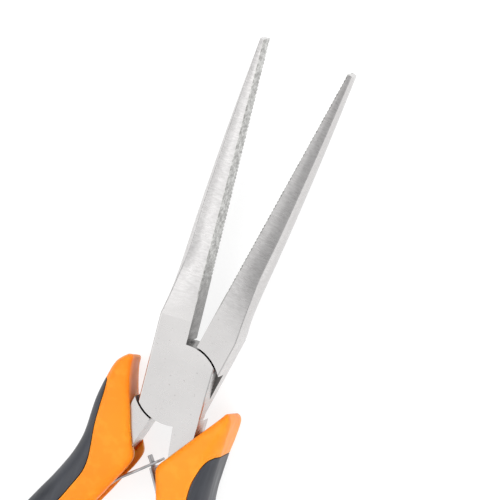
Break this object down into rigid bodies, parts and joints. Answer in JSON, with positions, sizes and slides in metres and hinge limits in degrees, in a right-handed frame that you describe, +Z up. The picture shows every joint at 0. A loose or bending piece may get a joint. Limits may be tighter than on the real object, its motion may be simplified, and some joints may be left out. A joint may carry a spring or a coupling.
{
  "type": "needle nose pliers",
  "caption": "Slim long-nose pliers with serrated jaws, a lap joint with a flush rivet, crossing return leaf springs and two-colour thumb-guard grips.",
  "frame": {"origin": "middle of the overall length and width, on the surface that the tool lies on (the grips' undersides)", "axes": "+Y along the tool towards the jaw tips, +Z up along the pivot axis, +X towards the handle of the front lever"},
  "size_m": [0.0532, 0.1574, 0.0124],
  "materials": {
    "head_steel": "fine satin grinding, no plating",
    "spring_steel": "rolled strip, satin",
    "rivet_steel": "satin",
    "grip_shell": "satin moulded",
    "grip_inlay": "satin soft touch"
  },
  "bodies": {
    "front_half": {"front_lever": "head_steel", "pivot_rivet": "head_steel", "tongue_spring_rivet": "rivet_steel", "front_grip": "grip_shell", "front_grip_inlay": "grip_inlay"},
    "rear_half": {"rear_lever": "head_steel", "slotted_spring_rivet": "rivet_steel", "rear_grip": "grip_shell", "rear_grip_inlay": "grip_inlay"},
    "tongue_leaf": {"tongue_spring": "spring_steel"},
    "slotted_leaf": {"slotted_spring": "spring_steel"}
  },
  "joints": [
    {"name": "pivot", "type": "hinge", "parent": "front_half", "child": "rear_half", "pos_m": [0, 0.01425, 0.0062], "axis": [0, 0, 1], "range_deg": [-4, 14.5], "stiffness_Nm_per_rad": 0.8},
    {"name": "tongue_leaf_flex", "type": "hinge", "parent": "front_half", "child": "tongue_leaf", "pos_m": [0.0111, -0.01974, 0.0062], "axis": [0, 0, 1], "range_deg": [-6.6, 2]},
    {"name": "slotted_leaf_flex", "type": "hinge", "parent": "rear_half", "child": "slotted_leaf", "pos_m": [-0.0111, -0.01974, 0.0062], "axis": [0, 0, 1], "range_deg": [-2, 6.6]}
  ],
  "couplings": [
    {"joint": "tongue_leaf_flex", "follows": "pivot", "ratio": -0.42},
    {"joint": "slotted_leaf_flex", "follows": "pivot", "ratio": 0.42}
  ]
}
